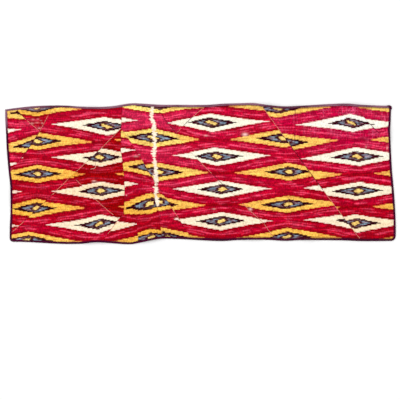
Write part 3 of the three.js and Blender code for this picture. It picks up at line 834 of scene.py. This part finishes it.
def seam_stitches(start, end, bow):
    """Small slanting stitches that close a seam."""
    length = math.dist(start, end)
    places = np.linspace(-1, 1, 5)
    paths = []
    for at in np.arange(3.0, length, 0.75 * STITCH_STEP_MM):
        middle, ahead = seam_points(start, end, bow, [at / length, (at + 1) / length])
        if from_panel_edge(*middle) < TAPE_FACE_MM + 1:
            continue
        way = (ahead - middle) / np.linalg.norm(ahead - middle)
        across = np.array([-way[1], way[0]])
        flat = middle + places[:, None] * (1.5 * across + 0.5 * way)
        paths.append(on_cloth(flat, 0.3 - 0.6 * places**2))
    return paths


def hem_stitches(line):
    """Slanting stitches that hold the tape's upper edge to the cloth."""
    inward = left_of(np.gradient(line, axis=0))
    reach, height = HEM_STITCH_MM.T
    paths = []
    every = round(STITCH_STEP_MM / TAPE_STEP_MM)
    for i in range(every, len(line) - every, every):
        way = np.array([inward[i][1], -inward[i][0]])
        flat = line[i] + reach[:, None] * inward[i] + np.linspace(-1, 1, 5)[:, None] * way
        paths.append(np.column_stack([flat, underside(*line[i]) + height]))
    return paths


def make_thread(name, paths, radius, material, flatness=1.0):
    points, faces = tubes(paths, radius, flatness)
    thread = new_object(name, points.tolist(), faces, material)
    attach(thread, ROOT)
    return thread


def make_corner_fold(material):
    """The small turned end of the tape at the top right corner."""
    height = underside(CORNER_FOLD_MM[:, 0], CORNER_FOLD_MM[:, 1]) + 2.0
    path = np.column_stack([CORNER_FOLD_MM, height])
    fold = make_thread("binding_corner_fold", [path], 2.4, material, 0.7)
    add_attribute(fold.data, "tape", [tuple(v.co / MM) for v in fold.data.vertices])


def make_loose_thread():
    flat = np.array([from_photo(x, y) for x, y in LOOSE_THREAD])
    shares = along_line(flat) / along_line(flat)[-1]
    flat = np.stack([np.interp(np.linspace(0, 1, 30), shares, part) for part in flat.T], axis=1)
    path = on_cloth(flat, 0.8 + 0.3 * np.sin(along_line(flat) / 3.0), 8.0)
    make_thread("loose_thread", [path], 0.7, make_thread_material("thread_loose", LOOSE_PINK))


def make_seam_threads():
    """The thread that shows along the seams, in its two tones."""
    for column, (tone, colour, radius, lift, swing) in enumerate(SEAM_THREADS):
        paths = []
        for *seam, pale_shares, dark_shares in SEAMS_MM:
            for low, high in (pale_shares, dark_shares)[column]:
                paths.append(shown_thread(*seam, low, high, lift, swing))
        material = make_thread_material(f"thread_{tone}", colour)
        make_thread(f"seam_thread_{tone}", paths, radius, material, flatness=0.4)


# Materials


class Value:
    """One result in a material's tree, which can be added, taken away and multiplied."""

    def __init__(self, tree, socket):
        self.tree = tree
        self.socket = socket

    def __add__(self, other):
        return sums("ADD", self, other)

    def __sub__(self, other):
        return sums("SUBTRACT", self, other)

    def __rsub__(self, other):
        return sums("SUBTRACT", other, self)

    def __mul__(self, other):
        return sums("MULTIPLY", self, other)

    def __abs__(self):
        return sums("ABSOLUTE", self)

    __radd__ = __add__
    __rmul__ = __mul__


class Tree:
    """The nodes of one material."""

    def __init__(self, name):
        self.material = bpy.data.materials.new(name)
        self.material.use_nodes = True
        self.nodes = self.material.node_tree.nodes
        self.shader = self.nodes["Principled BSDF"].inputs

    def feed(self, socket, value):
        if isinstance(value, Value):
            self.material.node_tree.links.new(value.socket, socket)
        else:
            socket.default_value = value

    def made(self, kind, inputs, result=0, **settings):
        """The result of a new node, with what goes into its inputs by their names or numbers."""
        node = self.nodes.new("ShaderNode" + kind)
        for name, setting in settings.items():
            setattr(node, name, setting)
        for key, value in inputs.items():
            self.feed(node.inputs[key], value)
        return Value(self, node.outputs[result])

    def attribute(self, name):
        return split(self.made("Attribute", {}, "Vector", attribute_name=name))

    def place(self):
        return self.made("TexCoord", {}, "Object")

    def bump(self, height, strength, distance):
        inputs = {"Strength": strength, "Distance": distance, "Height": height}
        self.feed(self.shader["Normal"], self.made("Bump", inputs, "Normal"))

    def finish(self, colour, roughness, specular, sheen, sheen_roughness=0.5, tint=WHITE):
        """Feeds the shader. What is the same all over is set on the shader's own sockets."""
        self.feed(self.shader["Base Color"], colour)
        self.feed(self.shader["Roughness"], roughness)
        self.shader["Specular IOR Level"].default_value = specular
        self.shader["Sheen Weight"].default_value = sheen
        self.shader["Sheen Roughness"].default_value = sheen_roughness
        self.shader["Sheen Tint"].default_value = tint
        return self.material


def made(kind, inputs, result=0, **settings):
    """The result of a new node, in the tree of what goes into it."""
    tree = next(value.tree for value in inputs.values() if isinstance(value, Value))
    return tree.made(kind, inputs, result, **settings)


def sums(operation, *values):
    return made("Math", dict(enumerate(values)), operation=operation)


def larger(a, b):
    return sums("MAXIMUM", a, b)


def step(value, low, high):
    """Nought at low, rising smoothly to one at high."""
    inputs = {"Value": value, "From Min": low, "From Max": high}
    return made("MapRange", inputs, "Result", interpolation_type="SMOOTHSTEP")


def mix(share, a, b, blend="MIX"):
    settings = {"data_type": "RGBA", "blend_type": blend, "clamp_result": True}
    return made("Mix", {0: share, 6: a, 7: b}, 2, **settings)


def vector(x, y, z=0.0):
    return made("CombineXYZ", {0: x, 1: y, 2: z})


def split(value, kind="XYZ"):
    """The three numbers of a vector, or of a colour."""
    first = made("Separate" + kind, {0: value})
    return [Value(first.tree, output) for output in first.socket.node.outputs]


def noise(place, scale=1.0, detail=0.0):
    """Soft noise, mostly from -0.5 to 0.5."""
    return made("TexNoise", {"Vector": place, "Scale": scale, "Detail": detail}, "Fac") - 0.5


def streaks(x, y, x_scale, y_scale, seed=0.0, detail=0.0):
    """Noise that is drawn out along x or y."""
    return noise(vector(x * x_scale, y * y_scale, seed), 1.0, detail)


def figure_parts(tree):
    """The figure's own coordinates: the way to the middle of the nearest gold and cream diamond."""
    u, v, line = tree.attribute("figure")
    bundle = sums("FLOOR", v * (1 / BUNDLE))
    level = (bundle + 0.5) * BUNDLE
    lane = bundle * BUNDLE_SPREAD
    slip = noise(vector(u * (1 / 30), lane)) * 5.0
    frayed = streaks(u, v, 1 / 5, 4.5, 3.0) * 3.0
    shifted = u + slip + frayed
    parts = {"u": u, "v": v, "line": line, "lane": lane, "within": v - level}
    for name, start in (("gold", 0.0), ("cream", 1.0)):
        along = sums("WRAP", shifted - start * COLUMN, -COLUMN, COLUMN)
        across = sums("WRAP", level - start * HALF_ROW, -HALF_ROW, HALF_ROW)
        parts[name] = (abs(along), abs(across))
        parts[name + "_signed"] = (along, across)
    return parts


def lozenge(along, across, half_length, half_height, power=1.0, soft=1.2):
    """One inside a diamond that is longest along the warp, and nought outside it."""
    left = larger(1.0 - across * (1 / half_height), 0.0)
    reach = sums("POWER", left, power) * half_length - 0.5
    return step(reach - along, -soft * 0.4, soft)


def eye_colours(parts, base, name):
    """The eye in a diamond: a dark rim with long points, a blue field, a ring and a gold centre."""
    along, across = parts[name + "_signed"]
    u, v = parts["u"], parts["v"]
    top_row, low_row = EYE_ROWS
    slant = (v - top_row) * (-2.0 / (low_row - top_row)) + 1.1
    wander = noise(vector(u * (1 / 9), parts["lane"], 7.0)) * 3.6
    outer = abs(along - across * (slant * 0.25) + wander)
    inner = abs(along - across * slant + wander * 0.5)
    across = abs(across)
    uneven = streaks(u, v, 1 / 7, 0.5, 11.0)
    fine = streaks(u, v, 1 / 5, 1.4, 3.0)
    blue = mix(step(uneven, -0.02, 0.2), BLUE, LILAC)
    blue = mix(step(across, 1.0, 3.4), blue, SLATE)
    blue = mix(step(fine, 0.08, 0.28) * 0.6, blue, BLUE_PALE)
    blue = mix(step(fine, 0.0, -0.2) * 0.85, blue, SLATE)
    points = mix(step(uneven, 0.05, -0.15), MAROON, NAVY)
    points = mix(step(outer, 9.0, 2.0) * 0.45, points, SLATE)
    colour = mix(lozenge(outer, across, *EYE["rim"]), base, points)
    colour = mix(lozenge(outer, across, *EYE["field"]), colour, blue)
    ring = tuple(0.7 * maroon + 0.3 * slate for maroon, slate in zip(MAROON, SLATE))
    colour = mix(lozenge(inner, across, *EYE["ring"]), colour, ring)
    return mix(lozenge(inner, across, *EYE["centre"]), colour, CENTRE_GOLD)


def pink_streak(parts, off_middle, deep, pale):
    """How much of the broken pink streak, and of a fainter one beside it, shows in the red."""
    u, v = parts["u"], parts["v"]
    shows = step(streaks(u, v, 1 / 15, 0.2, 5.5), -0.14, 0.04)
    first = step(off_middle, 1.0, 0.4) * shows
    shows = step(streaks(u, v, 1 / 12, 0.3, 8.5), 0.02, 0.16)
    second = step(abs(off_middle - 2.2), 0.8, 0.3) * shows
    return larger(first, second * 0.7) * (pale * 0.1 + 0.9) * (1.0 - deep * 0.75)


def ground_colours(parts, pale, deep):
    """The red between the diamonds: darker along their edges, with a broken pink streak in the middle."""
    def half_height(name, length, height, _):
        return larger((length - parts[name][0]) * (height / length), 0.0)

    gold_half = half_height("gold", *GOLD_DIAMOND)
    cream_half = half_height("cream", *CREAM_DIAMOND)
    band = parts["cream"][1] - cream_half
    other = HALF_ROW - gold_half - cream_half - band
    beyond_tip = step(parts["cream"][0], 46.0, 56.0) * 6.0
    nearest = sums("MINIMUM", band + beyond_tip, other)
    drift = noise(vector(parts["u"] * (1 / 46), parts["lane"], 15.0))
    rosy = step(drift, -0.16, 0.2)
    red = mix(rosy, CRIMSON, CRIMSON_ROSE)
    red = mix(pale, red, CRIMSON_PALE)
    red = mix(deep, red, CRIMSON_DEEP)
    edge = mix(deep, EDGE_RED, EDGE_RED_DEEP)
    colour = mix(step(nearest, 2.8, 0.6) * (0.95 - rosy * 0.45), red, edge)
    wander = streaks(parts["u"], parts["v"], 1 / 26, 0.3, 25.5) * 2.4
    within_bundle = parts["within"] * sums("SIGN", parts["cream_signed"][1])
    off_middle = abs((band - other) * 0.5 + within_bundle + wander)
    return mix(pink_streak(parts, off_middle, deep, pale), colour, PINK)


def resist_line(parts):
    """The jagged white line that was tied off where the warp was folded."""
    half, jag = 2.15, 5.0
    line, v = parts["line"], parts["v"]
    tooth = sums("FLOOR", v * (1 / TOOTH)) * TOOTH_SPREAD
    left = noise(vector(tooth, 2.5, 9.5)) * jag
    right = noise(vector(tooth, 21.5, 4.5)) * jag
    slow = noise(vector(v * 0.11, 5.5, 1.5)) * 2.0
    past_left = line + (left + half + slow)
    before_right = right + half + slow - line
    return step(past_left, -0.5, 1.0) * step(before_right, -0.5, 1.0)


def ikat_colours(tree):
    parts = figure_parts(tree)
    pale, deep, hatch = tree.attribute("top_to_bottom_tones")
    colour = ground_colours(parts, pale, deep)
    gold = mix(deep, mix(pale, GOLD, GOLD_PALE), GOLD_DEEP)
    cream = mix(step(deep, 0.05, 0.65), CREAM, CREAM_DEEP)
    gold = mix(step(parts["gold"][0], 34.0, 56.0), gold, TIP_ORANGE)
    cream = mix(step(parts["cream"][0], 42.0, 54.0), cream, TIP_PINK)
    cream = mix(hatch * 0.8, cream, CREAM_WHITE)
    length, height, power = CREAM_DIAMOND
    core = lozenge(*parts["cream"], length - 3.0, height - 0.4, power, 2.4)
    cream = mix(core, CREAM_EDGE, cream)
    gold = eye_colours(parts, gold, "gold")
    cream = eye_colours(parts, cream, "cream")
    colour = mix(lozenge(*parts["gold"], *GOLD_DIAMOND), colour, gold)
    colour = mix(lozenge(*parts["cream"], *CREAM_DIAMOND), colour, cream)
    colour = mix(resist_line(parts), colour, RESIST_WHITE)
    threads = streaks(parts["u"], parts["v"], 1 / 11, 1.9, 1.0)
    tint = mix(step(threads, -0.02, 0.02), THREAD_DARK, THREAD_PALE)
    share = sums("MINIMUM", abs(threads) * 1.8, 0.6)
    return mix(share, colour, tint, "SOFT_LIGHT"), hatch


def worn(place, colour, hatch):
    """Pale lines worn across and along the threads, where the cloth was rubbed."""
    x, y, _ = split(place)
    close, loose = 230.0, 26.0
    upright = streaks(x, y, close, loose, 2.0)
    level = streaks(x, y, loose, close, 6.0)
    patchy = step(noise(place, 24.0, 1.0), -0.18, 0.16)
    rubbed = larger(step(upright, -0.02, 0.2), step(level, 0.0, 0.22) * 0.9)
    red, green, _ = split(colour, "Color")
    reddish = step(green, 0.3, 0.1) * step(red, 0.12, 0.3)
    colour = mix(reddish * hatch * 0.4, colour, WORN_BLOOM)
    return mix(rubbed * patchy * (hatch * (reddish * 0.6 + 0.05)), colour, WORN_PINK)


def grained(place, colour):
    """Short lighter and darker dashes, where threads of warp and weft are thicker, thinner or worn."""
    x, y, _ = split(place)
    _, green, blue = split(colour, "Color")
    weft = streaks(x, y, 330.0, 190.0, 0.5)
    warp = streaks(x, y, 36.0, 260.0, 3.5)
    golden, creamy = step(green, 0.1, 0.45), step(blue, 0.2, 0.55)
    tone = weft * (1.7 - golden * 0.55 - creamy * 0.55) + 1.0
    tone = tone + warp * (1.1 - golden * 0.2 - creamy * 0.65)
    tone = larger(tone, DARKEST_GRAIN)
    return mix(1.0, colour, vector(tone, tone, tone), "MULTIPLY")


def painted_crease_shade(place, colour):
    """Painted shade: a thin broken dark line along the crease where the cloth was kept folded."""
    x, y, _ = split(place)
    middle_x, middle_y = CREASE_MIDDLE
    off = abs(x - middle_x - (y - middle_y) * 0.02)
    broken = step(noise(vector(0.5, y * 120.0, 7.5)), -0.2, 0.1)
    ends = step(abs(y - middle_y), CREASE_HALF_LENGTH, CREASE_HALF_LENGTH - 0.01)
    return mix(step(off, 0.0026, 0.0008) * ends * broken * 0.5, colour, CREASE_SHADE)


def make_ikat():
    tree = Tree("ikat_cloth")
    colour, hatch = ikat_colours(tree)
    place = tree.place()
    # Real wear and grain, then painted shade along the crease
    colour = painted_crease_shade(place, grained(place, worn(place, colour, hatch)))
    # Real spots, painted shade along the pieces' edges, and a painted shadow beside the tape
    seam, spot, painted_tape_shadow = tree.attribute("spots_and_painted_shade")
    for share, tone in (
        (larger(spot, 0.0) * 0.95, SPOT_PALE),
        (larger(spot * -0.8, 0.0), SPOT_DARK),
        # painted shade along each piece's edge
        (seam * 0.12, SEAM_SHADE),
        # painted shadow beside the tape
        (painted_tape_shadow * 0.6, SHADE_BY_TAPE),
    ):
        colour = mix(share, colour, tone)
    x, y, _ = split(place)
    rib = sums("SINE", x * (2 * math.pi / RIB))
    thread = sums("SINE", y * (2 * math.pi / THREAD))
    slub = streaks(x, y, 60.0, 900.0, 0.0, 1.0)
    tree.bump((rib + thread) * 0.5 + slub * 2.0, 0.25, 0.0002)
    rough = step(streaks(x, y, 40.0, 400.0), -0.5, 0.5)
    return tree.finish(colour, rough * 0.2 + 0.55, 0.02, 0.02, 0.4, srgb(255, 120, 120))


def make_tape_material(name, painted_light):
    """The tape's twill, in its own purple, or in a greyed mauve where light is painted on it."""
    tree = Tree(name)
    along, across, _ = tree.attribute("tape")
    x, y, _ = split(tree.place())
    share = painted_light(x, y)
    patchy = step(streaks(along, across, 1 / 55, 1 / 6, 1.0, 2.0), -0.2, 0.2)
    twill = sums("SINE", along * 5.2 + across * 4.4)
    fleck = streaks(along, across, 1.4, 2.0, 5.0)
    threads = step(twill * 0.2 + fleck, -0.1, 0.5)
    tones = []
    for dark, pale, bright in (PURPLE, MAUVE_PAINTED_LIGHT):
        tones.append(mix(threads, mix(patchy, dark, pale), bright))
    tree.bump(twill + fleck * 2.0, 0.35, 0.0003)
    colour = mix(share, *tones)
    return tree.finish(colour, fleck * 0.3 + 0.75, 0.03, 0.02, 0.5, srgb(190, 90, 150))


def painted_light_at_left(x, y):
    """Painted light: only the upper end of the left tape turns to the paler mauve."""
    return step(y, 0.13, 0.17) * step(x, -0.59, -0.60)


def painted_light_along_top(x, _):
    """Painted light: the top tape is painted in the paler mauve, but for two stretches and its right end."""
    share = step(x, 0.606, 0.598)
    for middle, half in PURPLE_STRETCHES:
        away = step(abs(x - middle), half, half + 0.03)
        share = share * (away * 0.7 + 0.3)
    return share


def make_thread_material(name, colour):
    tree = Tree(name)
    place = tree.place()
    x, y, _ = split(place)
    twist = sums("SINE", (x + y * 1.3) * (2 * math.pi / TWIST))
    shade = noise(place, 900.0, 1.0)
    share = step(shade + twist * 0.15, -0.3, 0.3)
    dim = tuple(0.6 * c for c in colour[:3]) + (1.0,)
    tree.bump(twist, 0.3, 0.0002)
    return tree.finish(mix(share, dim, colour), shade * 0.3 + 0.7, 0.1, 0.05)


# The floor, the lights and the camera


def make_floor():
    tree = Tree("floor")
    speckle = step(noise(tree.place(), 60.0, 2.0), -0.4, 0.4)
    material = tree.finish(mix(speckle, srgb(252, 252, 252), WHITE), 0.9, 0.5, 0.0)
    corners = [(x * FLOOR_HALF, y * FLOOR_HALF, 0) for x, y in ((-1, -1), (1, -1), (1, 1), (-1, 1))]
    new_object("floor", corners, [(0, 1, 2, 3)], material)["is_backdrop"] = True


def make_lights():
    world = bpy.data.worlds.new("studio")
    world.use_nodes = True
    background = world.node_tree.nodes["Background"]
    background.inputs["Color"].default_value = WHITE
    background.inputs["Strength"].default_value = SKY_STRENGTH
    bpy.context.scene.world = world
    for name, place, size, power in LAMPS:
        data = bpy.data.lights.new(name, "AREA")
        data.size = size
        data.energy = power
        lamp = put(name, data, place)
        lamp.rotation_euler = Vector(place).to_track_quat("Z", "Y").to_euler()


def make_camera():
    lens_mm, sensor_mm = 85.0, 36.0
    width = PHOTO_SIZE * PIXEL_MM * MM
    x_mm, y_mm = from_photo(PHOTO_SIZE / 2, PHOTO_SIZE / 2)
    data = bpy.data.cameras.new("camera")
    data.lens = lens_mm
    data.sensor_width = sensor_mm
    place = (x_mm * MM, y_mm * MM, width * lens_mm / sensor_mm)
    bpy.context.scene.camera = put("camera", data, place)


ikat = make_ikat()
for piece in FIGURES:
    make_panel(piece, ikat)

purple_tape = make_tape_material("tape_purple", painted_light_at_left)
painted_light_tape = make_tape_material("tape_mauve", painted_light_along_top)
edges = edge_paths()
for side, edge in edges.items():
    make_tape(side, edge, painted_light_tape if side == "top" else purple_tape)

stitches = [path for edge in edges.values() for path in hem_stitches(edge)]
make_thread("hem_stitches", stitches, 0.28, make_thread_material("thread_purple", srgb(70, 14, 62)))
stitches = [path for seam in SEAMS_MM for path in seam_stitches(*seam[:3])]
make_thread("seam_stitches", stitches, 0.22, make_thread_material("thread_crimson", srgb(150, 6, 40)))
make_corner_fold(purple_tape)
make_loose_thread()
make_seam_threads()

make_floor()
make_lights()
make_camera()
bpy.context.scene.view_settings.view_transform = "Standard"

boxes = [[list(corner) for corner in box] for box in (cad_box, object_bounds())]
